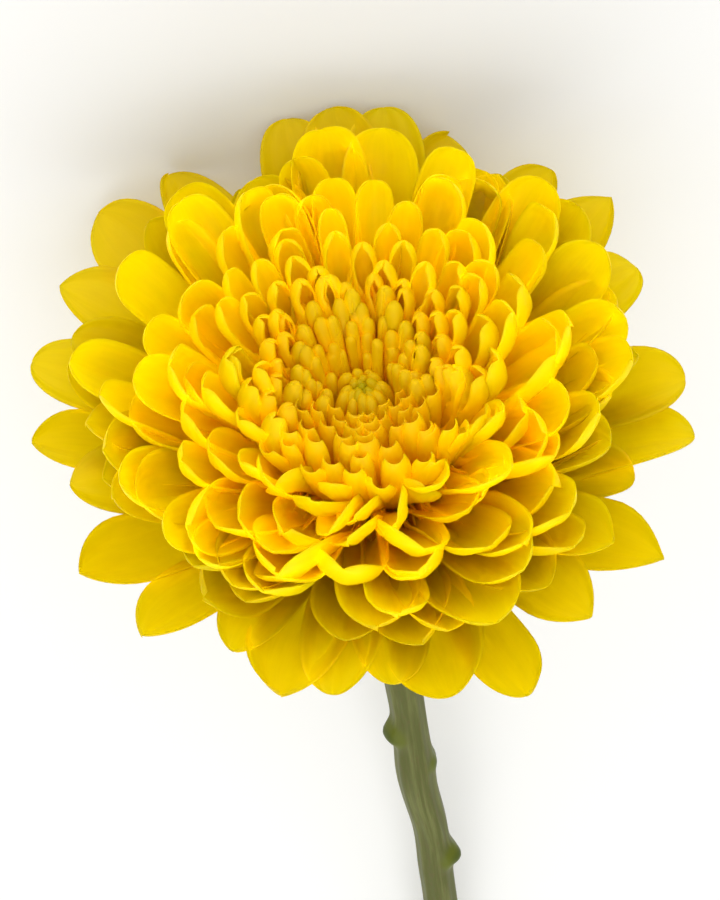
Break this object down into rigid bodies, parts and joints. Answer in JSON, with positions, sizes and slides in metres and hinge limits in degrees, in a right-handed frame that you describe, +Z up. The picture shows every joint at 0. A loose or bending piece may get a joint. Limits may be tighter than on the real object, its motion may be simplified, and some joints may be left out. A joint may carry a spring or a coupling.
{
  "type": "disbud chrysanthemum",
  "caption": "Single large yellow disbud chrysanthemum bloom on a bare cut stem, laid on its side on a surface.",
  "frame": {"origin": "on the surface that the flower lies on, under the middle of its bounding box", "axes": "+Z up from the surface; -Y is where the bloom faces, and looks up by 20.5 degrees; +Y runs along the lying stem to its cut end"},
  "size_m": [0.1164, 0.2478, 0.1008],
  "materials": {
    "yellow_florets": "satin, slightly translucent, finely veined lengthwise",
    "green_florets": "satin, closed young florets, yellow turning to olive green",
    "bracts": "matt green with paler papery edges",
    "stem_skin": "dull green ribbed skin with greyish streaks, greener round the leaf scars"
  },
  "bodies": {
    "root": {"bloom": "yellow_florets", "eye": "green_florets", "involucre": "bracts", "stem": "stem_skin"}
  },
  "joints": []
}
